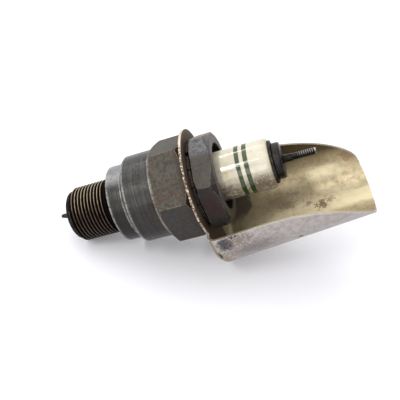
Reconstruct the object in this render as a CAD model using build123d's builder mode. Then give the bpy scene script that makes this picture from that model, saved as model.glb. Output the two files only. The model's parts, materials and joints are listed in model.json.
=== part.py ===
"""A vintage take-apart spark plug with a sheet-metal rain shield, lying on its side.

The plug's own axis runs from the nose up to the terminal.  Every height named below is measured
along that axis from the thread shoulder, positive towards the terminal, in millimetres.  The plug
lies as it comes to rest on a table: on the shield's front corner and on the edge of its nose.
"""

import math
import os

from build123d import *

# ---- how the plug lies ---------------------------------------------------------------------------
TILT = 26.48  # rise of the plug's axis above the table, degrees
SHOULDER_X = -38.05  # centre of the thread shoulder, from the middle of the part
SHOULDER_Z = 17.988  # and above the table

# ---- steel shell ---------------------------------------------------------------------------------
THREAD_R = 11.11  # 7/8 inch thread
THREAD_PITCH = 25.4 / 18
THREAD_ROOT_R = 10.2
THREAD_START = -18.5
THREAD_TURNS = 10.3
NECK_R = 9.6
NOSE_END = -20.6
NOSE_BORE_R = 6.6
SMALL_BARREL_R = 15.26
BIG_BARREL_R = 17.5
HEX_ACROSS_FLATS = 36.0
HEX_START = 18.6
HEX_END = 32.5
HEX_CORNER_ANGLE = 7.0
SEAT_Z = 7.2
SEAT_BORE_R = 13.3
SHELL_MOUTH_R = 13.75
SHELL_MOUTH_START = 21.0

# ---- rain shield, pressed from one sheet ---------------------------------------------------------
SHEET = 0.9
PLATE_R = 21.4
SPIGOT_HOLE_R = 14.1
TROUGH_DROP = 13.3  # trough axis below the plug axis
TROUGH_R = 24.5  # outer radius at the plate
TROUGH_END_R = 18.6  # outer radius at the open end
TROUGH_END = 96.2
FOLD_R = 3.2  # outer radius of the fold between plate and trough
TROUGH_EDGE_X = -9.3  # level part of the trough's edges, from the plug's axis
TROUGH_EDGE_END = 58.0

# ---- lock ring -----------------------------------------------------------------------------------
LOCK_RING_R = 17.2
LOCK_RING_T = 1.3
LOCK_RING_GAP = 0.03  # lets the shield turn below the ring
LOCK_SLOTS = 16
LOCK_NOTCH_ANGLE = 9.0

# ---- gland nut -----------------------------------------------------------------------------------
GLAND_ACROSS_FLATS = 34.4
GLAND_CORNER_ANGLE = -4.0
GLAND_END = 42.9
GLAND_BORE_R = 10.3
GLAND_MOUTH_R = 13.0
SPIGOT_R = 13.6
SPIGOT_START = 22.8
SPIGOT_PITCH = 1.5
SPIGOT_ROOT_R = 12.8
SPIGOT_TURNS = 5.2
COLLAR_R = 15.6  # turned collar between the lock ring and the hexagon
COLLAR_H = 0.5

# ---- insulator -----------------------------------------------------------------------------------
PORCELAIN_R = 9.75
PORCELAIN_END = 62.5
PORCELAIN_FOOT = -16.0
PORCELAIN_BORE_R = 2.6
PORCELAIN_WAIST_R = 12.6
PORCELAIN_FOOT_R = 6.0
PORCELAIN_END_ROUND = 1.4

# ---- centre rod, terminal and electrodes ---------------------------------------------------------
STUD_R = 1.75
STUD_PITCH = 25.4 / 32
STUD_ROOT_R = 1.3
STUD_NECK_R = 1.5
STUD_END = 79.2
STUD_THREAD_LENGTH = 9.0
STUD_THREAD_TURNS = 10.0
ROD_HEAD_R = 3.2
ROD_HEAD_T = 1.3
TERMINAL_WASHER_R = 8.4
TERMINAL_WASHER_T = 0.9
TERMINAL_NUT_R = 7.0
TERMINAL_NUT_T = 3.1
TIP_R = 0.8
TIP_SOCKET = 3.0  # depth of the tip's socket in the rod
TIP_END = -21.9
EARTH_WIRE_R = 0.7
EARTH_WIRE_OFFSET = 8.1  # from the plug's axis
EARTH_WIRE_ANGLE = 40.0
EARTH_WIRE_FOOT = -17.6
EARTH_WIRE_BAR = -23.3  # height of the bar across the nose
EARTH_WIRE_BEND = 1.2

# ---- threads -------------------------------------------------------------------------------------
ROOT_CLEAR = 0.05  # from the root cylinder to the helix each ridge follows
SEAM_TURN = 37  # keeps the start of each helix off the seams of the turned faces, degrees

# ---- planes and axes -----------------------------------------------------------------------------
# Each piece is modelled upright, with the plug's axis along +Z and the trough on the -X side.
PLUG_AXIS = Axis.Z
# half-plane for turned profiles: x is the radius, y the height along the plug
PROFILE = Plane.XZ
# side view: x is the height along the plug, y points away from the trough
SIDE = Plane(origin=(0, 0, 0), x_dir=(0, 0, 1), z_dir=(0, 1, 0))
TROUGH_PROFILE = Plane(origin=(-TROUGH_DROP, 0, 0), x_dir=(1, 0, 0), z_dir=(0, -1, 0))
TROUGH_AXIS = Axis((-TROUGH_DROP, 0, 0), (0, 0, 1))
# The finished pieces are laid down together, and +X then runs from the nose towards the terminal.
rise = math.radians(TILT)
LYING = Plane(
    origin=(SHOULDER_X, 0, SHOULDER_Z),
    x_dir=(-math.sin(rise), 0, math.cos(rise)),
    z_dir=(math.cos(rise), 0, math.sin(rise)),
).location


def thread_path(pitch, turns, root_r, start):
    """A helix about the plug's axis, just clear of the thread root and of the turned faces' seams."""
    return Pos(0, 0, start) * Rot(0, 0, SEAM_TURN) * Helix(pitch, pitch * turns, root_r + ROOT_CLEAR)


def ridge_plane(path):
    """The plane across the start of a helix: x points away from the plug's axis."""
    start = path @ 0
    return Plane(origin=start, x_dir=(start.X, start.Y, 0), z_dir=path % 0)


def ridge_outline(root_r, crest_r, pitch):
    """Corner points of one thread ridge, its foot sunk below the root."""
    foot = 0.425 * pitch
    buried = 0.465 * pitch
    crest = 0.07 * pitch
    height = crest_r - root_r - ROOT_CLEAR
    sunk = -0.42 * pitch
    return [(sunk, -buried), (0, -foot), (height, -crest), (height, crest), (0, foot), (sunk, buried)]


# ---- shell ---------------------------------------------------------------------------------------
shell_helix = thread_path(THREAD_PITCH, THREAD_TURNS, THREAD_ROOT_R, THREAD_START)
with BuildPart() as shell_thread:
    with BuildSketch(ridge_plane(shell_helix)):
        with BuildLine():
            Polyline(*ridge_outline(THREAD_ROOT_R, THREAD_R, THREAD_PITCH), close=True)
        make_face()
    sweep(path=shell_helix, is_frenet=True)

hex_corner_r = HEX_ACROSS_FLATS / 2 / math.cos(math.radians(30))
with BuildPart() as shell_hex:
    with BuildSketch(Plane.XY.offset(HEX_START)):
        RegularPolygon(HEX_ACROSS_FLATS / 2, 6, major_radius=False, rotation=HEX_CORNER_ANGLE)
    extrude(amount=HEX_END - HEX_START)
    with BuildSketch(PROFILE):
        with BuildLine():
            Polyline(
                (0, HEX_START),
                (BIG_BARREL_R, HEX_START),
                (hex_corner_r + 0.1, HEX_START + 1.9),
                (hex_corner_r + 0.1, HEX_END - 1.9),
                (BIG_BARREL_R + 0.2, HEX_END),
                (0, HEX_END),
                close=True,
            )
        make_face()
    revolve(axis=PLUG_AXIS, mode=Mode.INTERSECT)

with BuildPart() as shell_body:
    with BuildSketch(PROFILE):
        with BuildLine():
            Polyline(
                (0, NOSE_END),
                (9.3, NOSE_END),
                (9.9, NOSE_END + 0.5),
                (THREAD_ROOT_R, NOSE_END + 1.9),
                (THREAD_ROOT_R, -2.9),
                (NECK_R, -2.4),
                (NECK_R, 0),
                (SMALL_BARREL_R, 0),
                (SMALL_BARREL_R, 6.0),
                (16.5, 6.7),
                (16.9, 6.9),
                (BIG_BARREL_R, 7.6),
                (BIG_BARREL_R, HEX_START + 2),
                (0, HEX_START + 2),
                close=True,
            )
        make_face()
    revolve(axis=PLUG_AXIS)
    add(shell_hex.part)
    add(shell_thread.part)
    # stepped bore: nose chamber, porcelain seat, porcelain chamber, gland thread
    with BuildSketch(PROFILE):
        with BuildLine():
            Polyline(
                (0, NOSE_END - 1),
                (NOSE_BORE_R + 0.6, NOSE_END - 1),
                (NOSE_BORE_R + 0.6, NOSE_END),
                (NOSE_BORE_R, NOSE_END + 0.6),
                (NOSE_BORE_R, SEAT_Z),
                (SEAT_BORE_R, SEAT_Z),
                (SEAT_BORE_R, SHELL_MOUTH_START),
                (SHELL_MOUTH_R, SHELL_MOUTH_START),
                (SHELL_MOUTH_R, HEX_END + 1),
                (0, HEX_END + 1),
                close=True,
            )
        make_face()
    revolve(axis=PLUG_AXIS, mode=Mode.SUBTRACT)
    # socket for the earth wire in the end of the nose
    with BuildSketch(Plane.XY.offset(NOSE_END - 1)):
        with PolarLocations(EARTH_WIRE_OFFSET, 1, start_angle=EARTH_WIRE_ANGLE):
            Circle(EARTH_WIRE_R)
    extrude(amount=EARTH_WIRE_FOOT - NOSE_END + 1, mode=Mode.SUBTRACT)
shell_body.part.label = "shell_body"

# ---- rain shield ---------------------------------------------------------------------------------
plate_front = HEX_END
plate_back = HEX_END + SHEET
taper = (TROUGH_R - TROUGH_END_R) / (TROUGH_END - plate_front)
fold_z = plate_front + FOLD_R
fold_wall_r = TROUGH_R - taper * FOLD_R
inner_fold = FOLD_R - SHEET
past_end = TROUGH_END + 2
before_plate = plate_front - 5
below = -TROUGH_R * 2
# where each edge drops away from level: (height, distance from the plug's axis)
DROPPING = [(66, -10.1), (79, -13.5), (88, -17.9), (91.3, -20.2)]
with BuildPart() as rain_shield:
    with BuildSketch(TROUGH_PROFILE):
        with BuildLine():
            Line((0, plate_front), (fold_wall_r - FOLD_R, plate_front))
            RadiusArc((fold_wall_r - FOLD_R, plate_front), (fold_wall_r, fold_z), -FOLD_R)
            end_r = TROUGH_R - taper * (past_end - plate_front)
            Line((fold_wall_r, fold_z), (end_r, past_end))
            Line((end_r, past_end), (end_r - SHEET, past_end))
            Line((end_r - SHEET, past_end), (fold_wall_r - SHEET, fold_z))
            RadiusArc(
                (fold_wall_r - SHEET, fold_z),
                (fold_wall_r - SHEET - inner_fold, plate_back),
                inner_fold,
            )
            Line((fold_wall_r - SHEET - inner_fold, plate_back), (0, plate_back))
            Line((0, plate_back), (0, plate_front))
        make_face()
    revolve(axis=TROUGH_AXIS)
    # the edges run level, then sweep down to the rounded corners of the open end
    with BuildSketch(SIDE):
        with BuildLine():
            level = Line((before_plate, TROUGH_EDGE_X), (TROUGH_EDGE_END, TROUGH_EDGE_X))
            Spline(level @ 1, *DROPPING, tangents=((1, 0), (1, -0.85)))
            corner = ThreePointArc(DROPPING[-1], (93.6, -22.6), (94.6, -26))
            end_edge = ThreePointArc(corner @ 1, (95.5, -29.5), (TROUGH_END, -35))
            Polyline(end_edge @ 1, (TROUGH_END, below), (before_plate, below), level @ 0)
        make_face()
    extrude(amount=TROUGH_R * 2, both=True, mode=Mode.INTERSECT)
    # the round plate under the gland nut
    with BuildSketch(Plane.XY.offset(plate_front)):
        Circle(PLATE_R)
    extrude(amount=SHEET)
    with BuildSketch(Plane.XY.offset(plate_front - 1)):
        Circle(SPIGOT_HOLE_R)
    extrude(amount=SHEET + 2, mode=Mode.SUBTRACT)
rain_shield.part.label = "rain_shield"

# ---- lock ring: slotted rim with one wide notch --------------------------------------------------
lock_front = plate_back + LOCK_RING_GAP
lock_back = lock_front + LOCK_RING_T
with BuildPart() as lock_ring:
    with BuildSketch(Plane.XY.offset(lock_front)):
        Circle(LOCK_RING_R)
        Circle(SPIGOT_HOLE_R, mode=Mode.SUBTRACT)
        for slot in range(1, LOCK_SLOTS):
            with PolarLocations(LOCK_RING_R, 1, start_angle=LOCK_NOTCH_ANGLE + slot * 360 / LOCK_SLOTS):
                Rectangle(2.6, 0.45, mode=Mode.SUBTRACT)
        with PolarLocations(LOCK_RING_R, 1, start_angle=LOCK_NOTCH_ANGLE):
            Rectangle(3.4, 2.1, mode=Mode.SUBTRACT)
    extrude(amount=LOCK_RING_T)
lock_ring.part.label = "lock_ring"

# ---- gland nut -----------------------------------------------------------------------------------
gland_hex_start = lock_back + COLLAR_H
gland_corner_r = GLAND_ACROSS_FLATS / 2 / math.cos(math.radians(30))
spigot_helix = thread_path(SPIGOT_PITCH, SPIGOT_TURNS, SPIGOT_ROOT_R, SPIGOT_START + 1.6)
with BuildPart() as spigot_thread:
    with BuildSketch(ridge_plane(spigot_helix)):
        with BuildLine():
            Polyline(*ridge_outline(SPIGOT_ROOT_R, SPIGOT_R, SPIGOT_PITCH), close=True)
        make_face()
    sweep(path=spigot_helix, is_frenet=True)

with BuildPart() as gland_hex:
    with BuildSketch(Plane.XY.offset(gland_hex_start)):
        RegularPolygon(GLAND_ACROSS_FLATS / 2, 6, major_radius=False, rotation=GLAND_CORNER_ANGLE)
    extrude(amount=GLAND_END - gland_hex_start)
    with BuildSketch(PROFILE):
        with BuildLine():
            Polyline(
                (0, gland_hex_start),
                (18.2, gland_hex_start),
                (gland_corner_r + 0.1, gland_hex_start + 1.1),
                (gland_corner_r + 0.1, GLAND_END - 2.1),
                (16.6, GLAND_END),
                (0, GLAND_END),
                close=True,
            )
        make_face()
    revolve(axis=PLUG_AXIS, mode=Mode.INTERSECT)

with BuildPart() as gland_nut:
    with BuildSketch(PROFILE):
        with BuildLine():
            Polyline(
                (0, SPIGOT_START),
                (SPIGOT_ROOT_R - 0.4, SPIGOT_START),
                (SPIGOT_ROOT_R, SPIGOT_START + 0.4),
                (SPIGOT_ROOT_R, lock_back),
                (COLLAR_R, lock_back),
                (COLLAR_R, gland_hex_start + 1),
                (0, gland_hex_start + 1),
                close=True,
            )
        make_face()
    revolve(axis=PLUG_AXIS)
    add(spigot_thread.part)
    add(gland_hex.part)
    with BuildSketch(PROFILE):
        with BuildLine():
            Polyline(
                (0, SPIGOT_START - 1),
                (GLAND_BORE_R, SPIGOT_START - 1),
                (GLAND_BORE_R, 35.6),
                (GLAND_MOUTH_R, 37.0),
                (GLAND_MOUTH_R, GLAND_END - 0.4),
                (GLAND_MOUTH_R + 0.4, GLAND_END),
                (GLAND_MOUTH_R + 0.4, GLAND_END + 1),
                (0, GLAND_END + 1),
                close=True,
            )
        make_face()
    revolve(axis=PLUG_AXIS, mode=Mode.SUBTRACT)
gland_nut.part.label = "gland_nut"

# ---- insulator: foot, waist between its two shoulders, and the glazed barrel ---------------------
gasket_top = SEAT_Z + 1.0
waist_top = 20.2
with BuildPart() as insulator:
    with BuildSketch(PROFILE):
        with BuildLine():
            Polyline(
                (PORCELAIN_BORE_R, PORCELAIN_FOOT),
                (3.5, PORCELAIN_FOOT),
                (4.0, PORCELAIN_FOOT + 0.6),
                (PORCELAIN_FOOT_R, 4.0),
                (PORCELAIN_FOOT_R, gasket_top),
                (PORCELAIN_WAIST_R, gasket_top),
                (PORCELAIN_WAIST_R, waist_top),
                (PORCELAIN_R, waist_top),
                (PORCELAIN_R, PORCELAIN_END),
                (PORCELAIN_BORE_R, PORCELAIN_END),
                close=True,
            )
        make_face()
    revolve(axis=PLUG_AXIS)
    circles = insulator.edges().filter_by(GeomType.CIRCLE)
    end_rims = circles.filter_by(lambda edge: edge.radius > 9).group_by(PLUG_AXIS)
    fillet(end_rims[-1], PORCELAIN_END_ROUND)
insulator.part.label = "insulator"

# ---- rings and washers: name, inner radius, outer radius, bottom, top ----------------------------
nut_start = PORCELAIN_END + TERMINAL_WASHER_T
RINGS = {
    "seat_gasket": (7.3, 12.9, SEAT_Z, gasket_top),
    "packing_ring": (10.1, 12.9, waist_top, waist_top + 1.3),
    "thrust_washer": (10.3, 13.1, waist_top + 1.3, SPIGOT_START),
    "electrode_gasket": (STUD_R + 0.1, ROD_HEAD_R, PORCELAIN_FOOT - 0.5, PORCELAIN_FOOT),
    "rod_cement": (STUD_R, PORCELAIN_BORE_R, PORCELAIN_FOOT + 4, PORCELAIN_END - 6),
    "terminal_washer": (STUD_R + 0.1, TERMINAL_WASHER_R, PORCELAIN_END, nut_start),
}
rings = []
for ring_name, (inner_r, outer_r, bottom, top) in RINGS.items():
    with BuildPart() as ring:
        with BuildSketch(Plane.XY.offset(bottom)):
            Circle(outer_r)
            Circle(inner_r, mode=Mode.SUBTRACT)
        extrude(amount=top - bottom)
        circles = ring.edges().filter_by(GeomType.CIRCLE)
        rim = circles.filter_by(lambda edge: edge.radius > outer_r - 0.01).group_by(PLUG_AXIS)
        chamfer(rim[0] + rim[-1], min(0.15, (top - bottom) / 5))
    ring.part.label = ring_name
    rings.append(ring)

# ---- terminal nut: thick round nut with rounded rims ---------------------------------------------
nut_end = nut_start + TERMINAL_NUT_T
with BuildPart() as terminal_nut:
    with BuildSketch(Plane.XY.offset(nut_start)):
        Circle(TERMINAL_NUT_R)
        Circle(STUD_R + 0.07, mode=Mode.SUBTRACT)
    extrude(amount=TERMINAL_NUT_T)
    circles = terminal_nut.edges().filter_by(GeomType.CIRCLE)
    nut_rims = circles.filter_by(lambda edge: edge.radius > 5).group_by(PLUG_AXIS)
    fillet(nut_rims[0], 0.4)
    fillet(nut_rims[-1], 0.8)
terminal_nut.part.label = "terminal_nut"

# ---- centre rod: head, shank through the porcelain, plain neck and threaded stud end -------------
stud_thread_start = STUD_END - STUD_THREAD_LENGTH
stud_helix = thread_path(STUD_PITCH, STUD_THREAD_TURNS, STUD_ROOT_R, stud_thread_start + 0.5)
with BuildPart() as stud_thread:
    with BuildSketch(ridge_plane(stud_helix)):
        with BuildLine():
            Polyline(*ridge_outline(STUD_ROOT_R, STUD_R, STUD_PITCH), close=True)
        make_face()
    sweep(path=stud_helix, is_frenet=True)

rod_foot = PORCELAIN_FOOT - 0.5
with BuildPart() as centre_rod:
    with BuildSketch(PROFILE):
        with BuildLine():
            Polyline(
                (0, rod_foot - ROD_HEAD_T),
                (ROD_HEAD_R - 0.4, rod_foot - ROD_HEAD_T),
                (ROD_HEAD_R, rod_foot - ROD_HEAD_T + 0.4),
                (ROD_HEAD_R, rod_foot),
                (STUD_R, rod_foot),
                (STUD_R, nut_end + 0.4),
                (STUD_NECK_R, nut_end + 0.7),
                (STUD_NECK_R, stud_thread_start - 0.2),
                (STUD_ROOT_R, stud_thread_start),
                (STUD_ROOT_R, STUD_END - 0.3),
                (STUD_ROOT_R - 0.3, STUD_END),
                (0, STUD_END),
                close=True,
            )
        make_face()
    revolve(axis=PLUG_AXIS)
    add(stud_thread.part)
    # socket for the electrode tip
    with BuildSketch(Plane.XY.offset(rod_foot + TIP_SOCKET)):
        Circle(TIP_R)
    extrude(amount=-TIP_SOCKET - ROD_HEAD_T - 1, mode=Mode.SUBTRACT)
centre_rod.part.label = "centre_rod"

# ---- electrode tip: nickel wire in the rod's socket ----------------------------------------------
with BuildPart() as electrode_tip:
    with BuildSketch(Plane.XY.offset(TIP_END)):
        Circle(TIP_R)
    extrude(amount=rod_foot + TIP_SOCKET - TIP_END)
    tip_rims = electrode_tip.edges().filter_by(GeomType.CIRCLE).group_by(PLUG_AXIS)
    chamfer(tip_rims[0], 0.15)
electrode_tip.part.label = "electrode_tip"

# ---- earth wire: stands in the nose's end and bends across below the tip -------------------------
with BuildPart() as earth_wire:
    with BuildLine(Plane.XZ.rotated((0, 0, EARTH_WIRE_ANGLE))) as wire_path:
        FilletPolyline(
            (EARTH_WIRE_OFFSET, EARTH_WIRE_FOOT),
            (EARTH_WIRE_OFFSET, EARTH_WIRE_BAR),
            (-TIP_R, EARTH_WIRE_BAR),
            radius=EARTH_WIRE_BEND,
        )
    with BuildSketch(Plane(origin=wire_path.line @ 0, z_dir=wire_path.line % 0)):
        Circle(EARTH_WIRE_R)
    sweep()
earth_wire.part.label = "earth_wire"

# ---- export --------------------------------------------------------------------------------------
pieces = [
    shell_body,
    rain_shield,
    lock_ring,
    gland_nut,
    insulator,
    *rings,
    terminal_nut,
    centre_rod,
    electrode_tip,
    earth_wire,
]
os.makedirs("parts", exist_ok=True)
for piece in pieces:
    laid = piece.part.moved(LYING)
    laid.label = piece.part.label
    export_step(laid, f"parts/{laid.label}.step")
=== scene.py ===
"""A vintage take-apart spark plug with a sheet-metal rain shield, lying on a pale table."""

import json
import math

import bpy
from mathutils import Matrix, Vector

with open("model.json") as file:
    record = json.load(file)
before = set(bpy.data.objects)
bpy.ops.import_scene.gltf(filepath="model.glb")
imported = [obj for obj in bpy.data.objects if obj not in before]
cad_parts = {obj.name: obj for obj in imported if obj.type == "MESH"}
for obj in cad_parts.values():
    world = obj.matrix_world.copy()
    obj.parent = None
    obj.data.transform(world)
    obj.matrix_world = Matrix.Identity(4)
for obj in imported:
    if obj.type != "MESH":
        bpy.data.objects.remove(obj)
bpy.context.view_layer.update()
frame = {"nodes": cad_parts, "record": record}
MM = 0.001

# ---- the plug's own axes, from the frame --------------------------------------------------------
# along: from the nose to the terminal, away: from the trough to the open side, side: to the viewer
mounts = {mount["name"]: mount for mount in frame["record"]["mounts"]}
along = Vector(mounts["terminal_stud"]["axis"]).normalized()
side = Vector((0, -1, 0))
away = side.cross(along).normalized()
THREAD_MOUNT_HEIGHT = -10.0  # height of the shell_thread mount from the thread shoulder, mm
shoulder = Vector(mounts["shell_thread"]["pos_m"]) - along * THREAD_MOUNT_HEIGHT * MM
plug_to_frame = Matrix((away, side, along)).transposed()


# ---- camera -------------------------------------------------------------------------------------
# Seen from the lens: x to the right, y down, z ahead.
SHOULDER_FROM_LENS = Vector((-31.297, 1.168, 222.777)) * MM
AXIS_UP = 14.787  # the plug's axis climbs this much across the view, degrees
AXIS_NEARER = 13.579  # and comes this much towards the lens
ROLL = 43.0  # turn of the open side of the trough away from the lens, about the plug's axis
LENS = 49.5


def seen_axes():
    """The plug's axis and two directions across it, as the lens sees them."""
    up, nearer = math.radians(AXIS_UP), math.radians(AXIS_NEARER)
    axis = Vector((math.cos(nearer) * math.cos(up), -math.cos(nearer) * math.sin(up), -math.sin(nearer)))
    level = axis.cross(Vector((0, 0, 1))).normalized()
    return axis, level, axis.cross(level)


def to_frame(seen):
    """Turns a direction seen from the lens into one in the frame that the parts share."""
    axis, level, across = seen_axes()
    roll = math.radians(ROLL)
    frame_level = math.cos(roll) * away - math.sin(roll) * side
    frame_across = math.sin(roll) * away + math.cos(roll) * side
    return seen.dot(axis) * along + seen.dot(level) * frame_level + seen.dot(across) * frame_across


def make_camera():
    right, down, ahead = (to_frame(Vector(v)) for v in ((1, 0, 0), (0, 1, 0), (0, 0, 1)))
    data = bpy.data.cameras.new("camera")
    data.lens = LENS
    data.sensor_width = 36.0
    data.clip_start = 0.01
    camera = bpy.data.objects.new("camera", data)
    place = shoulder - to_frame(SHOULDER_FROM_LENS)
    rotation = Matrix((right, -down, -ahead)).transposed().to_4x4()
    camera.matrix_world = Matrix.Translation(place) @ rotation
    bpy.context.scene.collection.objects.link(camera)
    bpy.context.scene.camera = camera


make_camera()


# ---- node building ------------------------------------------------------------------------------
class Net:
    """The node tree of one material, built by small calls that return output sockets."""

    def __init__(self, name):
        self.material = bpy.data.materials.new(name)
        self.material.use_nodes = True
        self.tree = self.material.node_tree
        self.tree.nodes.clear()

    def put(self, socket, value):
        if isinstance(value, bpy.types.NodeSocket):
            self.tree.links.new(value, socket)
        elif isinstance(value, tuple) and len(value) == 3 and socket.type == "RGBA":
            socket.default_value = (*value, 1.0)
        else:
            socket.default_value = value

    def node(self, kind, inputs=None, **settings):
        made = self.tree.nodes.new(kind)
        for name, value in settings.items():
            setattr(made, name, value)
        for name, value in (inputs or {}).items():
            self.put(made.inputs[name], value)
        return made

    def math(self, operation, *values, clamp=False):
        inputs = dict(enumerate(values))
        return self.node("ShaderNodeMath", inputs, operation=operation, use_clamp=clamp).outputs[0]

    def add(self, *terms):
        total = terms[0]
        for term in terms[1:]:
            total = self.math("ADD", total, term)
        return total

    def times(self, *factors):
        total = factors[0]
        for factor in factors[1:]:
            total = self.math("MULTIPLY", total, factor)
        return total

    def fade(self, value, low, high, bottom=0.0, top=1.0):
        """Smooth step of value from bottom at low to top at high."""
        inputs = {"Value": value, "From Min": low, "From Max": high, "To Min": bottom, "To Max": top}
        return self.node("ShaderNodeMapRange", inputs, interpolation_type="SMOOTHSTEP").outputs[0]

    def within(self, value, low, high, soft):
        """1 between low and high, fading to 0 over soft outside them."""
        rise = self.fade(value, low - soft, low)
        fall = self.fade(value, high, high + soft, 1.0, 0.0)
        return self.times(rise, fall)

    def mix(self, factor, first, second):
        made = self.node("ShaderNodeMix", data_type="RGBA")
        self.put(made.inputs[0], factor)
        self.put(made.inputs[6], first)
        self.put(made.inputs[7], second)
        return made.outputs[2]

    def blend(self, factor, first, second):
        made = self.node("ShaderNodeMix", data_type="FLOAT")
        self.put(made.inputs[0], factor)
        self.put(made.inputs[2], first)
        self.put(made.inputs[3], second)
        return made.outputs[0]

    def combine(self, x, y, z):
        return self.node("ShaderNodeCombineXYZ", {"X": x, "Y": y, "Z": z}).outputs[0]

    def noise(self, vector, scale, detail=3.0, roughness=0.55, distortion=0.0):
        inputs = {"Vector": vector, "Scale": scale, "Detail": detail}
        inputs.update({"Roughness": roughness, "Distortion": distortion})
        return self.node("ShaderNodeTexNoise", inputs).outputs[0]

    def bump(self, height, strength, distance, normal=None):
        inputs = {"Height": height, "Strength": strength, "Distance": distance}
        if normal is not None:
            inputs["Normal"] = normal
        return self.node("ShaderNodeBump", inputs).outputs[0]

    def plug_space(self):
        """Place in millimetres along the plug's own axes: vector, x, y, z, radius, angle in degrees."""
        coords = self.node("ShaderNodeTexCoord").outputs["Object"]
        placed = self.node("ShaderNodeMapping", {"Vector": coords}, vector_type="TEXTURE")
        placed.inputs["Location"].default_value = shoulder
        placed.inputs["Rotation"].default_value = plug_to_frame.to_euler()
        placed.inputs["Scale"].default_value = (MM, MM, MM)
        vector = placed.outputs[0]
        split = self.node("ShaderNodeSeparateXYZ", {"Vector": vector})
        x, y, z = split.outputs
        radius = self.math("SQRT", self.add(self.times(x, x), self.times(y, y)))
        angle = self.times(self.math("ARCTAN2", y, x), math.degrees(1))
        return vector, x, y, z, radius, angle

    def rounded(self, width):
        """The surface normal with its sharp edges softened over width."""
        return self.node("ShaderNodeBevel", {"Radius": width}, samples=4).outputs[0]

    def edges(self, width):
        """1 on worn edges: where the surface turns within width."""
        true = self.node("ShaderNodeNewGeometry").outputs["True Normal"]
        turn = self.node("ShaderNodeVectorMath", {0: self.rounded(width), 1: true}, operation="DOT_PRODUCT")
        return self.fade(turn.outputs["Value"], 0.8, 0.985, 1.0, 0.0)

    def principled(self, **inputs):
        named = {name.replace("_", " "): value for name, value in inputs.items()}
        shader = self.node("ShaderNodeBsdfPrincipled", named)
        output = self.node("ShaderNodeOutputMaterial")
        self.tree.links.new(shader.outputs[0], output.inputs[0])
        return self.material


def dress(material, *names):
    """Gives a material to CAD nodes."""
    for name in names:
        for slot in frame["nodes"][name].material_slots:
            slot.material = material


# ---- materials ----------------------------------------------------------------------------------
# In plug space: z is the height from the thread shoulder towards the terminal, x points away from
# the trough and y to the viewer, all in mm. An angle is in degrees about the plug, from x to y.
NOSE_END = -19.0
THREAD_CREST_R = 11.11
BARREL_STEP = 6.3  # the small barrel is below this height
HEX_FOOT = 18.7
PLATE_FRONT, PLATE_BACK = 32.5, 33.4
PLATE_R = 21.3
GLAND_END = 42.9
GLAND_MOUTH_R = 13.0
PORCELAIN_R = 9.75
PORCELAIN_END = 62.5
GREEN_BANDS = ((49.95, 51.65), (53.05, 54.8))
STUD_THREAD_START, STUD_END = 70.2, 79.2
STUD_PITCH = 25.4 / 32

# The trough in the shield's own terms: how far its axis lies from the plug's, and how it narrows.
TROUGH_DROP = 13.3
TROUGH_R = 24.5
TROUGH_END_R, TROUGH_END = 18.6, 96.2
TROUGH_TAPER = (TROUGH_R - TROUGH_END_R) / (TROUGH_END - PLATE_FRONT)


def srgb(red, green, blue):
    """A colour given as it looks on a screen, 0 to 255, made linear."""
    def linear(value):
        value /= 255
        return value / 12.92 if value <= 0.04045 else ((value + 0.055) / 1.055) ** 2.4
    return linear(red), linear(green), linear(blue)


def spot(net, place, centre, size, radius, cloud, ragged=0.6):
    """A ragged patch on a round surface of this radius: place and centre are (height, angle), size
    is how far it reaches along and around in mm, and cloud is the noise that frays its edge."""
    height, angle = place
    up = net.times(net.math("SUBTRACT", height, centre[0]), 1 / size[0])
    arc = math.radians(radius) / size[1]
    across = net.times(net.math("SUBTRACT", angle, centre[1]), arc)
    reach = net.math("SQRT", net.add(net.times(up, up), net.times(across, across)))
    reach = net.add(reach, net.times(net.math("SUBTRACT", cloud, 0.5), ragged * 4))
    return net.fade(reach, 0.6, 1.0, 1.0, 0.0)


def turning_marks(net, z, radius, angle):
    """Fine grooves left by the lathe, running round the plug."""
    stretched = net.combine(net.times(angle, 0.012), net.times(radius, 1.5), net.times(z, 4.5))
    return net.noise(stretched, 1.0, 4, 0.7)


def rims(net, z, heights, width):
    """Narrow rings round the plug at the heights of turned edges."""
    mask = 0.0
    for height in heights:
        mask = net.math("MAXIMUM", mask, net.within(z, height - width / 2, height + width / 2, width))
    return mask


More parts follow.
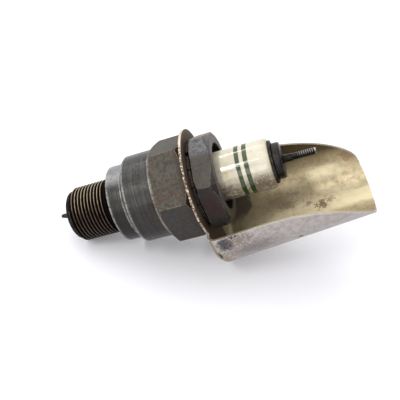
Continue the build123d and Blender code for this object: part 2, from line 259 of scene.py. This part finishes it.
def shell_steel():
    """The body: turned barrels, a rusty hexagon and a sooty thread, told apart by height."""
    net = Net("oxidised_shell_steel")
    vector, _, _, z, radius, angle = net.plug_space()
    blotch = net.noise(vector, 0.16, 4, 0.6)
    mottle = net.noise(vector, 0.75, 6, 0.65)
    grit = net.noise(vector, 4.0, 4, 0.7)
    marks = turning_marks(net, z, radius, angle)
    worn = net.times(net.edges(0.0006), net.fade(mottle, 0.36, 0.56))
    on_hexagon = net.fade(z, HEX_FOOT - 0.2, HEX_FOOT + 0.2)
    in_thread = net.fade(z, -0.3, -0.1, 1.0, 0.0)
    # turned barrels: satin grey with fine turning marks and a few sooty clouds, with painted shade towards
    # the lower side and a painted highlight on the small barrel's upper side
    barrel = net.mix(net.fade(mottle, 0.35, 0.65), srgb(62, 61, 59), srgb(76, 75, 72))
    barrel = net.mix(net.times(net.fade(marks, 0.48, 0.75), 0.6), barrel, srgb(128, 127, 125))
    barrel = net.mix(net.times(net.fade(blotch, 0.54, 0.7), 0.6), barrel, srgb(52, 48, 45))
    # painted shade: the barrels darker towards the lower side
    barrel = net.mix(net.fade(angle, 5, 45, 0.0, 0.6), barrel, srgb(44, 42, 40))
    small = net.fade(z, BARREL_STEP - 0.3, BARREL_STEP + 0.3, 1.0, 0.0)
    # painted shade: the small barrel darker still on its lower side
    barrel = net.mix(net.times(small, net.fade(angle, 30, 70), 0.7), barrel, srgb(44, 42, 42))
    # painted highlight: the small barrel lighter on its upper side
    lit = net.times(small, net.within(angle, -40, 8, 20), net.fade(mottle, 0.3, 0.55, 0.5, 1.0))
    barrel = net.mix(net.times(lit, 0.7), barrel, srgb(158, 157, 156))
    # hexagon: browner, grainy, with rust spots, and painted shade on its lower flats
    hexagon = net.mix(net.fade(mottle, 0.35, 0.65), srgb(58, 55, 49), srgb(86, 82, 72))
    hexagon = net.mix(net.times(net.fade(blotch, 0.55, 0.7), 0.5), hexagon, srgb(66, 48, 38))
    hexagon = net.mix(net.times(net.fade(grit, 0.6, 0.72), 0.55), hexagon, srgb(124, 106, 88))
    rust = net.times(net.fade(grit, 0.5, 0.66), net.fade(blotch, 0.48, 0.62), 0.5)
    hexagon = net.mix(rust, hexagon, srgb(112, 70, 46))
    # painted shade: the hexagon's lower flats darker
    hexagon = net.mix(net.times(net.fade(angle, 65, 69), 0.6), hexagon, srgb(46, 44, 45))
    under_plate = net.fade(z, PLATE_FRONT - 3.5, PLATE_FRONT - 0.5)
    under_plate = net.times(under_plate, net.fade(mottle, 0.4, 0.56))
    hexagon = net.mix(net.times(under_plate, 0.85), hexagon, srgb(46, 28, 20))
    tone = net.mix(on_hexagon, barrel, hexagon)
    # thread: sooty roots, crests worn to bare tan steel, least at the two ends; the crests also carry painted
    # light, paler on the upper side and darker below
    crest = net.fade(radius, THREAD_CREST_R - 0.25, THREAD_CREST_R - 0.06)
    crest = net.times(crest, net.fade(mottle, 0.3, 0.52, 0.35, 1.0))
    crest = net.times(crest, net.fade(z, NOSE_END + 0.6, NOSE_END + 3.5, 0.25, 1.0), 0.95)
    # painted light and shade on the crests: paler on the upper side, darker below
    bare = net.mix(net.fade(angle, 8, 62), srgb(180, 162, 134), srgb(104, 90, 80))
    thread = net.mix(crest, srgb(27, 21, 17), bare)
    nose = net.mix(net.fade(mottle, 0.35, 0.65), srgb(28, 31, 30), srgb(60, 62, 60))
    thread = net.mix(net.fade(z, NOSE_END - 0.2, NOSE_END + 0.3, 1.0, 0.0), thread, nose)
    tone = net.mix(in_thread, tone, thread)
    # the barrels' turned edges, rubbed bright and painted brighter still as the highlight on their chamfers
    turned_edge_wear_and_highlight = rims(net, z, (0.15, BARREL_STEP - 0.25, BARREL_STEP + 1.3, HEX_FOOT + 0.05), 0.5)
    turned_edge_wear_and_highlight = net.times(turned_edge_wear_and_highlight, net.fade(mottle, 0.35, 0.55, 0.2, 1.0), 0.65)
    tone = net.mix(net.times(turned_edge_wear_and_highlight, net.fade(radius, 14.9, 15.2)), tone, srgb(150, 146, 140))
    past_barrel = net.fade(z, HEX_FOOT - 0.7, HEX_FOOT - 0.3)
    edge_tone = net.mix(past_barrel, srgb(150, 147, 142), srgb(176, 148, 120))
    worn = net.times(worn, net.blend(in_thread, 0.9, 0.0))
    tone = net.mix(worn, tone, edge_tone)
    rough = net.blend(net.fade(marks, 0.35, 0.7), 0.4, 0.3)
    rough = net.blend(on_hexagon, rough, net.blend(mottle, 0.5, 0.68))
    roots = net.fade(radius, THREAD_CREST_R - 0.33, THREAD_CREST_R - 0.11, 1.0, 0.0)
    rough = net.blend(net.times(in_thread, roots), rough, 0.8)
    off_hexagon = net.math("SUBTRACT", 1.0, on_hexagon)
    metallic = net.blend(net.math("MAXIMUM", worn, off_hexagon), 0.7, 1.0)
    height = net.add(net.times(marks, 0.5), net.times(mottle, 0.7), net.times(grit, 0.5))
    normal = net.bump(height, 0.5, 0.0001, net.rounded(0.00025))
    return net.principled(Base_Color=tone, Metallic=metallic, Roughness=rough, Normal=normal)


def gland_steel():
    """The gland nut: each flat has its own tone, found by its angle about the plug, partly oxide colour and
    partly painted light and shade.
    """
    net = Net("pitted_gland_steel")
    vector, _, _, z, radius, angle = net.plug_space()
    blotch = net.noise(vector, 0.2, 4, 0.6)
    mottle = net.noise(vector, 0.8, 6, 0.65)
    grit = net.noise(vector, 2.6, 3, 0.6)
    wander = net.times(net.math("SUBTRACT", mottle, 0.5), 26.0)
    turn = net.add(angle, wander)
    olive = net.mix(net.fade(mottle, 0.3, 0.7), srgb(58, 54, 48), srgb(82, 77, 69))
    pale = net.mix(net.fade(mottle, 0.35, 0.65), srgb(72, 68, 66), srgb(114, 114, 115))
    tan = net.mix(net.fade(mottle, 0.3, 0.7), srgb(96, 82, 70), srgb(138, 122, 106))
    plum = net.mix(net.fade(mottle, 0.35, 0.65), srgb(34, 28, 28), srgb(52, 44, 43))
    rust = net.mix(net.fade(grit, 0.4, 0.7), srgb(44, 20, 20), srgb(58, 32, 30))
    patchy = net.mix(net.fade(blotch, 0.4, 0.6), olive, plum)
    # painted light and shade on the flats, over the oxide colours: pale and tan on the upper flats, dark plum
    # on the lower ones
    tone = net.mix(net.fade(turn, 12, 20, 1.0, 0.0), olive, pale)
    tone = net.mix(net.fade(turn, -9, -3, 1.0, 0.0), tone, tan)
    tone = net.mix(net.fade(turn, -75, -55, 1.0, 0.0), tone, patchy)
    tone = net.mix(net.fade(angle, 54, 57), tone, plum)
    patch = spot(net, (z, angle), (39.2, 84.0), (3.6, 5.5), 18.0, mottle, 0.8)
    tone = net.mix(net.times(patch, 0.85), tone, rust)
    tone = net.mix(net.fade(angle, 116, 124), tone, patchy)
    underneath = net.fade(net.math("ABSOLUTE", angle), 150, 170)
    tone = net.mix(underneath, tone, net.mix(blotch, olive, rust))
    # the end face is dull grey with a lighter rim, and the mouth is painted near black as the shade inside
    # the bore
    face = net.mix(net.fade(mottle, 0.3, 0.7), srgb(70, 64, 60), srgb(104, 98, 93))
    tone = net.mix(net.fade(z, GLAND_END - 0.3, GLAND_END - 0.1), tone, face)
    # painted shade inside the bore, round the insulator
    mouth_shade = net.fade(radius, GLAND_MOUTH_R, GLAND_MOUTH_R + 0.3, 1.0, 0.0)
    mouth_shade = net.times(mouth_shade, net.fade(z, PLATE_BACK + 0.6, GLAND_END))
    tone = net.mix(mouth_shade, tone, srgb(22, 18, 16))
    pits = net.times(net.fade(grit, 0.3, 0.42, 1.0, 0.0), net.fade(blotch, 0.35, 0.6))
    tone = net.mix(pits, tone, srgb(34, 30, 28))
    worn = net.times(net.edges(0.0006), net.fade(mottle, 0.36, 0.58))
    tone = net.mix(net.times(worn, 0.7), tone, srgb(146, 138, 128))
    rough = net.blend(net.fade(mottle, 0.3, 0.7), 0.42, 0.62)
    metallic = net.blend(worn, 0.6, 1.0)
    height = net.add(net.times(mottle, 0.6), net.times(grit, 0.6), net.times(pits, -1.2))
    normal = net.bump(height, 0.6, 0.00018, net.rounded(0.0003))
    return net.principled(Base_Color=tone, Metallic=metallic, Roughness=rough, Normal=normal)


def shield_metal():
    """The shield: yellowed and stained inside the trough, with painted sheen and a painted shadow there,
    silvery outside, grimy on its plate.
    """
    net = Net("worn_nickelled_brass")
    vector, x, y, z, radius, angle = net.plug_space()
    from_axis = net.add(x, TROUGH_DROP)
    reach = net.math("SQRT", net.add(net.times(from_axis, from_axis), net.times(y, y)))
    around = net.times(net.math("ARCTAN2", y, from_axis), math.degrees(1))
    # the same angle counted from the bottom of the trough, with no jump there
    from_bottom = net.times(net.math("ARCTAN2", y, net.times(from_axis, -1)), math.degrees(1))
    middle = net.add(TROUGH_R - 0.45 + TROUGH_TAPER * PLATE_FRONT, net.times(z, -TROUGH_TAPER))
    depth = net.math("SUBTRACT", reach, middle)
    outside = net.fade(depth, -0.25, 0.25)
    # the plate's face towards the terminal counts as inside, its other face as outside
    low = net.fade(z, PLATE_BACK + 0.05, PLATE_BACK + 0.6, 1.0, 0.0)
    in_plate = net.times(low, net.fade(depth, 0.4, 0.9, 1.0, 0.0))
    in_plate = net.math("MAXIMUM", in_plate, net.fade(x, 9.6 - TROUGH_DROP, 11.2 - TROUGH_DROP))
    back_face = net.fade(z, PLATE_BACK - 0.12, PLATE_BACK - 0.04)
    outside = net.blend(in_plate, outside, net.math("SUBTRACT", 1.0, back_face))
    inward = net.fade(outside, 0.4, 0.6, 1.0, 0.0)
    on_plate = net.times(in_plate, back_face)
    blotch = net.noise(vector, 0.1, 4, 0.6)
    mottle = net.noise(vector, 0.45, 6, 0.66)
    grit = net.noise(vector, 2.2, 4, 0.7)
    flakes = net.noise(vector, 1.1, 5, 0.7)
    drawn = net.combine(net.times(z, 0.25), net.times(from_bottom, 0.9), net.times(reach, 0.3))
    brushed = net.noise(drawn, 1.0, 4, 0.7)

    def stain(centre, size, trough_r, cloud, ragged):
        return spot(net, (z, around), centre, size, trough_r, cloud, ragged)

    # inside: yellowed nickel, streaked along the trough
    inside = net.mix(net.fade(blotch, 0.3, 0.7), srgb(160, 145, 114), srgb(180, 166, 134))
    inside = net.mix(net.times(net.fade(mottle, 0.45, 0.7), 0.5), inside, srgb(128, 112, 84))
    inside = net.mix(net.times(net.fade(brushed, 0.5, 0.8), 0.3), inside, srgb(190, 182, 156))
    # outside: silvery nickel with a lilac cast
    nickel = net.mix(net.fade(mottle, 0.35, 0.65), srgb(152, 145, 141), srgb(176, 169, 164))
    nickel = net.mix(net.times(net.fade(blotch, 0.5, 0.75), 0.4), nickel, srgb(158, 143, 128))
    # painted sheen: the inside lighter along a band and a streak, where lamps would reflect
    sway = net.times(net.math("SUBTRACT", flakes, 0.5), 12.0)
    drift = net.times(net.math("SUBTRACT", brushed, 0.5), 14.0)
    sheen_band = net.times(net.fade(net.add(z, sway), 71.0, 75.5), net.fade(z, 80.0, 92.0, 1.0, 0.0))
    sheen_band = net.times(sheen_band, net.within(net.add(from_bottom, drift), -54.0, -48.0, 8.0))
    sheen_streak = net.within(net.add(from_bottom, drift), -14.0, 1.0, 7.0)
    sheen_streak = net.times(sheen_streak, net.fade(z, 50.0, 92.0, 0.15, 1.0))
    painted_highlight = net.math("MAXIMUM", net.times(sheen_band, 0.6), net.times(sheen_streak, 0.55))
    painted_highlight = net.times(painted_highlight, net.fade(mottle, 0.25, 0.55, 0.6, 1.0))
    inside = net.mix(painted_highlight, inside, srgb(212, 202, 166))
    tone = net.mix(outside, inside, nickel)
    # painted shadow of the gland nut and insulator in the corner by the plate, and grime on the plate under
    # the lock ring
    ragged = net.add(z, net.times(net.math("SUBTRACT", mottle, 0.5), 5.0))
    # the painted shadow reaches further along the far wall
    far_wall = net.fade(from_bottom, -34, -16, 5.5, 0.0)
    nut_cast_shadow = net.fade(net.math("SUBTRACT", ragged, far_wall), 39.6, 41.2, 1.0, 0.0)
    nut_cast_shadow = net.times(nut_cast_shadow, net.fade(from_bottom, -30, -14, 1.0, 0.3))
    shadow_and_grime = net.math("MAXIMUM", nut_cast_shadow, on_plate)
    shadow_and_grime = net.times(shadow_and_grime, net.fade(outside, 0.3, 0.7, 1.0, 0.0))
    bare_rim = net.times(on_plate, net.fade(radius, 18.6, 20.6), net.fade(angle, -25, 15, 0.55, 0.0))
    tone = net.mix(net.times(shadow_and_grime, net.math("SUBTRACT", 0.9, bare_rim)), tone, srgb(54, 40, 30))
    # stains inside, each at its height along the plug and angle round the trough
    brown = stain((75.6, -169.8), (3.0, 2.4), 20.0, flakes, 1.3)
    fainter = (((70.2, -163.0), (1.6, 1.3)), ((61.0, -158.0), (4.0, 2.2)), ((79.5, -166.0), (2.2, 1.4)))
    for centre, size in fainter:
        brown = net.math("MAXIMUM", brown, net.times(stain(centre, size, 20.0, flakes, 1.4), 0.55))
    brown = net.times(brown, inward)
    tone = net.mix(net.times(brown, 0.75), tone, srgb(92, 62, 36))
    smoke = net.times(stain((59.0, -152.0), (8.0, 4.0), 21.0, mottle, 1.3), 0.4)
    tone = net.mix(net.times(smoke, inward), tone, srgb(112, 98, 74))
    # painted shade inside the trough, under its far edge
    far_edge_shade = net.times(net.fade(from_bottom, -82, -68, 1.0, 0.0), net.fade(outside, 0.4, 0.6, 0.85, 0.0))
    tone = net.mix(far_edge_shade, tone, srgb(72, 58, 40))
    far_corner = net.times(stain((91.5, -114.0), (4.0, 4.5), 19.0, mottle, 1.2), 0.5)
    tone = net.mix(far_corner, tone, srgb(112, 76, 50))
    # outside near the plate: bare slate-blue patch, black specks, brown stains, a dark nick
    bare = net.times(stain((38.7, 88.5), (3.8, 4.2), 24.0, flakes, 0.5), outside)
    upright = net.noise(net.combine(net.times(z, 3.0), net.times(around, 0.15), 0.0), 1.0, 3, 0.6)
    slate = net.mix(net.fade(upright, 0.35, 0.65), srgb(50, 49, 52), srgb(88, 86, 88))
    tone = net.mix(bare, tone, slate)
    tan = net.times(stain((44.0, 87.0), (4.5, 4.0), 24.0, flakes, 1.7), 0.7)
    fainter_tan = net.times(stain((46.0, 104.0), (8.0, 4.0), 23.0, flakes, 1.8), 0.55)
    tan = net.math("MAXIMUM", tan, fainter_tan)
    tone = net.mix(net.times(tan, outside), tone, srgb(116, 100, 85))
    smudge = net.times(stain((50.0, 106.0), (9.0, 5.0), 22.0, brushed, 1.6), 0.6)
    tone = net.mix(net.times(smudge, outside), tone, srgb(112, 106, 108))
    dirt = net.times(stain((35.5, 116.0), (3.6, 9.0), 23.0, flakes, 1.3), 0.75)
    tone = net.mix(net.times(dirt, outside), tone, srgb(134, 118, 96))
    nick = stain((34.6, 103.0), (1.1, 3.2), 24.0, grit, 0.1)
    speck = stain((41.6, 79.5), (2.2, 1.1), 24.0, flakes, 1.6)
    dot = stain((65.6, 117.0), (1.2, 1.1), 21.5, grit, 0.02)
    black = net.times(net.math("MAXIMUM", net.math("MAXIMUM", nick, speck), dot), outside)
    tone = net.mix(black, tone, srgb(30, 24, 20))
    freckles = net.times(net.fade(grit, 0.66, 0.74), net.fade(mottle, 0.45, 0.6), 0.55)
    tone = net.mix(freckles, tone, srgb(96, 78, 60))
    worn = net.times(net.edges(0.0005), net.fade(grit, 0.3, 0.5))
    tone = net.mix(net.times(worn, 0.9), tone, srgb(222, 212, 192))
    # the plate's rim: bright where it is rubbed, and brighter on its upper side as a painted highlight; brown
    # between
    plate_rim = net.times(net.fade(radius, PLATE_R - 0.15, PLATE_R), net.fade(x, -9.0, -6.0))
    plate_rim = net.times(plate_rim, net.fade(z, PLATE_BACK, PLATE_BACK + 0.3, 1.0, 0.0))
    rim_wear_and_highlight = net.fade(net.add(flakes, net.fade(angle, -5, 20, 0.14, 0.0)), 0.48, 0.58)
    rim_tone = net.mix(rim_wear_and_highlight, srgb(84, 62, 46), srgb(206, 192, 168))
    tone = net.mix(plate_rim, tone, rim_tone)
    rough = net.blend(net.fade(mottle, 0.3, 0.7), 0.36, 0.48)
    rough = net.blend(outside, rough, net.add(rough, 0.06))
    dull = net.math("MAXIMUM", net.math("MAXIMUM", net.times(shadow_and_grime, 0.9), brown), net.times(dirt, outside))
    rough = net.blend(dull, rough, 0.75)
    metallic = net.blend(net.math("MAXIMUM", dull, black), net.blend(outside, 0.7, 0.6), 0.1)
    height = net.add(net.times(brushed, 0.35), net.times(mottle, 0.5))
    height = net.add(height, net.times(black, -1.5), net.times(bare, -0.4))
    normal = net.bump(height, 0.35, 0.0001, net.rounded(0.0002))
    return net.principled(Base_Color=tone, Metallic=metallic, Roughness=rough, Normal=normal)


def ring_metal():
    net = Net("grimy_lock_ring")
    vector, _, _, _, radius, _ = net.plug_space()
    mottle = net.noise(vector, 1.1, 5, 0.65)
    tone = net.mix(net.fade(mottle, 0.3, 0.7), srgb(26, 20, 16), srgb(64, 51, 41))
    tone = net.mix(net.fade(radius, 16.4, 17.0, 1.0, 0.0), tone, srgb(24, 19, 16))
    rough = net.blend(mottle, 0.4, 0.7)
    normal = net.bump(mottle, 0.5, 0.0001, net.rounded(0.00015))
    return net.principled(Base_Color=tone, Metallic=0.6, Roughness=rough, Normal=normal)


def porcelain():
    net = Net("glazed_porcelain")
    vector, _, _, z, _, angle = net.plug_space()
    blotch = net.noise(vector, 0.16, 4, 0.6)
    mottle = net.noise(vector, 0.7, 5, 0.65)
    flakes = net.noise(vector, 1.3, 5, 0.7)
    grit = net.noise(vector, 3.2, 4, 0.7)
    tone = net.mix(net.fade(blotch, 0.3, 0.7), srgb(208, 201, 180), srgb(190, 181, 156))
    # two painted bands, worn at their edges
    wander = net.times(net.math("SUBTRACT", grit, 0.5), 0.22)
    height = net.add(z, wander)
    bands = 0.0
    for low, high in GREEN_BANDS:
        bands = net.math("MAXIMUM", bands, net.within(height, low + 0.06, high - 0.06, 0.1))
    chips = net.fade(grit, 0.67, 0.73, 1.0, 0.15)
    green = net.mix(net.fade(mottle, 0.35, 0.7), srgb(10, 34, 0), srgb(32, 66, 0))
    # grime: yellow-brown by the gland, brown clusters near the end, freckles
    low_side = net.fade(angle, 55, 100)
    by_gland = net.fade(z, GLAND_END - 0.4, GREEN_BANDS[0][0] + 0.05, 1.0, 0.0)
    by_gland = net.times(by_gland, net.fade(mottle, 0.35, 0.62), net.blend(low_side, 0.25, 0.95))
    tone = net.mix(net.times(by_gland, 0.8), tone, srgb(128, 98, 66))
    rusty = spot(net, (z, angle), (45.0, 83.0), (2.2, 1.6), PORCELAIN_R, flakes, 1.0)
    tone = net.mix(net.times(rusty, 0.7), tone, srgb(104, 66, 50))
    yellow = spot(net, (z, angle), (45.6, 50.0), (1.7, 1.5), PORCELAIN_R, mottle, 0.7)
    tone = net.mix(net.times(yellow, 0.55), tone, srgb(170, 150, 88))
    dots = net.noise(vector, 2.3, 4, 0.6)
    cluster = spot(net, (z, angle), (57.9, 88.0), (3.4, 3.0), PORCELAIN_R, dots, 1.6)
    tone = net.mix(net.times(cluster, 0.85), tone, srgb(92, 62, 46))
    # darker and browner towards the underside
    under = net.times(net.fade(angle, 56, 90), net.fade(mottle, 0.3, 0.6, 0.45, 1.0), 0.85)
    tone = net.mix(under, tone, srgb(94, 80, 62))
    # the bands' colour is burnt in under the glaze, so little of the grime and darkening above hides it
    tone = net.mix(net.times(bands, chips, 0.93), tone, green)
    specks = net.times(net.fade(grit, 0.64, 0.7), net.fade(z, 55.0, 62.0), net.fade(angle, 10, 60), 0.75)
    tone = net.mix(specks, tone, srgb(120, 92, 70))
    single = spot(net, (z, angle), (56.6, 12.2), (0.4, 0.4), PORCELAIN_R, mottle, 0.6)
    tone = net.mix(net.times(single, 0.5), tone, srgb(150, 120, 90))
    # unglazed foot inside the shell, and the end face darker and browner
    tone = net.mix(net.fade(z, 20.0, 20.4, 1.0, 0.0), tone, srgb(206, 198, 182))
    end_face = net.fade(z, PORCELAIN_END - 0.25, PORCELAIN_END - 0.05)
    tone = net.mix(net.times(end_face, 0.7), tone, srgb(120, 94, 72))
    dirt = net.math("MAXIMUM", net.times(by_gland, 0.8), cluster)
    rough = net.blend(dirt, 0.1, 0.5)
    normal = net.bump(net.add(mottle, net.times(cluster, 0.6)), 0.12, 0.0001)
    return net.principled(
        Base_Color=tone, Roughness=rough, Normal=normal, Specular_IOR_Level=0.42,
        Subsurface_Weight=0.06, Subsurface_Scale=0.001
    )


def dark_metal(name, dark, light, roughness):
    net = Net(name)
    vector = net.plug_space()[0]
    mottle = net.noise(vector, 0.9, 5, 0.65)
    grit = net.noise(vector, 4.0, 3, 0.6)
    tone = net.mix(net.fade(mottle, 0.3, 0.7), dark, light)
    worn = net.times(net.edges(0.0005), net.fade(mottle, 0.35, 0.6))
    tone = net.mix(net.times(worn, 0.7), tone, srgb(168, 160, 152))
    rough = net.blend(mottle, roughness, roughness + 0.2)
    normal = net.bump(net.add(mottle, grit), 0.4, 0.0001, net.rounded(0.0002))
    return net.principled(Base_Color=tone, Metallic=0.75, Roughness=rough, Normal=normal)


def rod_metal():
    """Dark steel; the stud is a plain rod in the frame, so its thread is drawn as helical lines."""
    net = Net("dark_rod_steel")
    vector, _, _, z, radius, angle = net.plug_space()
    mottle = net.noise(vector, 1.2, 5, 0.65)
    tone = net.mix(net.fade(mottle, 0.3, 0.7), srgb(20, 17, 15), srgb(38, 33, 30))
    # stud thread: darkened over its length as painted shade in the grooves, and painted glints on the crests
    # of its upper side
    turn = net.math("FRACT", net.add(net.times(z, 1 / STUD_PITCH), net.times(angle, -1 / 360)))
    ridge = net.times(net.math("ABSOLUTE", net.math("SUBTRACT", turn, 0.5)), 2)
    ridge = net.times(ridge, net.fade(z, STUD_THREAD_START - 0.3, STUD_THREAD_START + 0.3))
    threaded = net.fade(z, STUD_THREAD_START, STUD_THREAD_START + 0.5, 0.0, 0.6)
    tone = net.mix(threaded, tone, srgb(10, 9, 8))
    # painted glints on the crests, on the upper side only
    painted_highlight = net.times(net.fade(z, 71.5, 74.0, 0.2, 1.0), net.fade(angle, 25, 70, 1.0, 0.1))
    tone = net.mix(net.times(net.fade(ridge, 0.5, 0.8), painted_highlight, 0.8), tone, srgb(164, 158, 151))
    # painted glint: a bright ring at the stud's end, stronger on the upper side
    tip = net.math("MAXIMUM", net.edges(0.0003), net.fade(radius, 0.85, 1.0))
    at_end = net.fade(z, STUD_END - 0.6, STUD_END - 0.4)
    tip = net.times(tip, at_end, net.fade(angle, 25, 60, 0.75, 0.2))
    tone = net.mix(tip, tone, srgb(206, 200, 194))
    rough = net.blend(mottle, 0.24, 0.4)
    normal = net.bump(net.add(mottle, net.times(ridge, 4.0)), 0.3, 0.0001)
    return net.principled(Base_Color=tone, Metallic=0.95, Roughness=rough, Normal=normal)


def inner_part(name, dark, light, metallic, roughness):
    """Copper rings, cement and washers that show only when the plug is taken apart."""
    net = Net(name)
    vector = net.plug_space()[0]
    mottle = net.noise(vector, 0.8, 5, 0.65)
    tone = net.mix(net.fade(mottle, 0.3, 0.7), dark, light)
    rough = net.blend(mottle, roughness, roughness + 0.25)
    normal = net.bump(mottle, 0.4, 0.0001)
    return net.principled(Base_Color=tone, Metallic=metallic, Roughness=rough, Normal=normal)


dress(shell_steel(), "shell_body")
dress(gland_steel(), "gland_nut")
dress(shield_metal(), "rain_shield")
dress(ring_metal(), "lock_ring")
dress(porcelain(), "insulator")
dress(dark_metal("black_terminal_washer", srgb(26, 19, 16), srgb(48, 38, 32), 0.5), "terminal_washer")
dress(dark_metal("black_terminal_nut", srgb(26, 22, 21), srgb(46, 41, 39), 0.3), "terminal_nut")
dress(rod_metal(), "centre_rod")
dress(inner_part("sooty_nickel", srgb(30, 28, 26), srgb(66, 62, 56), 0.6, 0.5), "electrode_tip", "earth_wire")
dress(inner_part("soft_copper", srgb(140, 84, 58), srgb(196, 130, 96), 1.0, 0.35),
      "seat_gasket", "packing_ring", "electrode_gasket")
dress(inner_part("grey_cement", srgb(150, 144, 132), srgb(186, 180, 168), 0.0, 0.85), "rod_cement")
dress(inner_part("plain_washer_steel", srgb(92, 88, 84), srgb(140, 136, 130), 0.8, 0.4), "thrust_washer")


# ---- table and light ----------------------------------------------------------------------------
def make_table():
    mesh = bpy.data.meshes.new("table")
    reach = 3.0
    corners = [(-reach, -reach, 0), (reach, -reach, 0), (reach, reach, 0), (-reach, reach, 0)]
    mesh.from_pydata(corners, [], [(0, 1, 2, 3)])
    table = bpy.data.objects.new("table", mesh)
    bpy.context.scene.collection.objects.link(table)
    net = Net("table_paper")
    coords = net.node("ShaderNodeTexCoord").outputs["Object"]
    grain = net.noise(coords, 900, 4)
    tone = net.mix(grain, (0.91, 0.905, 0.92), (0.95, 0.945, 0.955))
    mesh.materials.append(net.principled(Base_Color=tone, Roughness=0.85))


def area_light(name, direction, distance, size, power, long_way=(0, 0, 1)):
    """A soft light that hangs in a direction from the plug and faces it; size is (across, long way)."""
    data = bpy.data.lights.new(name, "AREA")
    data.shape = "RECTANGLE"
    data.size, data.size_y = size
    data.energy = power
    lamp = bpy.data.objects.new(name, data)
    back = Vector(direction).normalized()
    across = Vector(long_way).cross(back).normalized()
    facing = Matrix((across, back.cross(across), back)).transposed().to_4x4()
    lamp.matrix_world = Matrix.Translation(back * distance) @ facing
    bpy.context.scene.collection.objects.link(lamp)


def make_world():
    """Soft light from all round, brighter from the back and left than from the viewer's side."""
    world = bpy.data.worlds.new("studio")
    world.use_nodes = True
    tree = world.node_tree
    tree.nodes.clear()
    coords = tree.nodes.new("ShaderNodeTexCoord")
    lean = tree.nodes.new("ShaderNodeVectorMath")
    lean.operation = "DOT_PRODUCT"
    lean.inputs[1].default_value = Vector((-0.45, 0.6, 0.66)).normalized()
    spread = tree.nodes.new("ShaderNodeMapRange")
    spread.interpolation_type = "SMOOTHSTEP"
    spread.inputs["From Min"].default_value = -0.6
    spread.inputs["From Max"].default_value = 0.95
    spread.inputs["To Min"].default_value = 0.68
    spread.inputs["To Max"].default_value = 1.12
    back = tree.nodes.new("ShaderNodeBackground")
    back.inputs["Color"].default_value = (0.95, 0.96, 1.0, 1)
    out = tree.nodes.new("ShaderNodeOutputWorld")
    tree.links.new(coords.outputs["Generated"], lean.inputs[0])
    tree.links.new(lean.outputs["Value"], spread.inputs["Value"])
    tree.links.new(spread.outputs["Result"], back.inputs["Strength"])
    tree.links.new(back.outputs[0], out.inputs[0])
    bpy.context.scene.world = world


make_table()
make_world()
bpy.context.scene.view_settings.view_transform = "Standard"
area_light("sky_panel", (-0.25, 0.40, 0.88), 1.0, (1.3, 1.3), 3.8)
area_light("window_back", (-0.47, 0.655, 0.59), 0.9, (0.20, 0.06), 0.6)
area_light("window_strip", (-0.55, -0.36, 0.75), 0.9, (0.07, 0.26), 1.7, (0, 0.88, 0.47))
area_light("window_low", (-0.40, -0.80, 0.42), 0.9, (0.40, 0.34), 1.5)
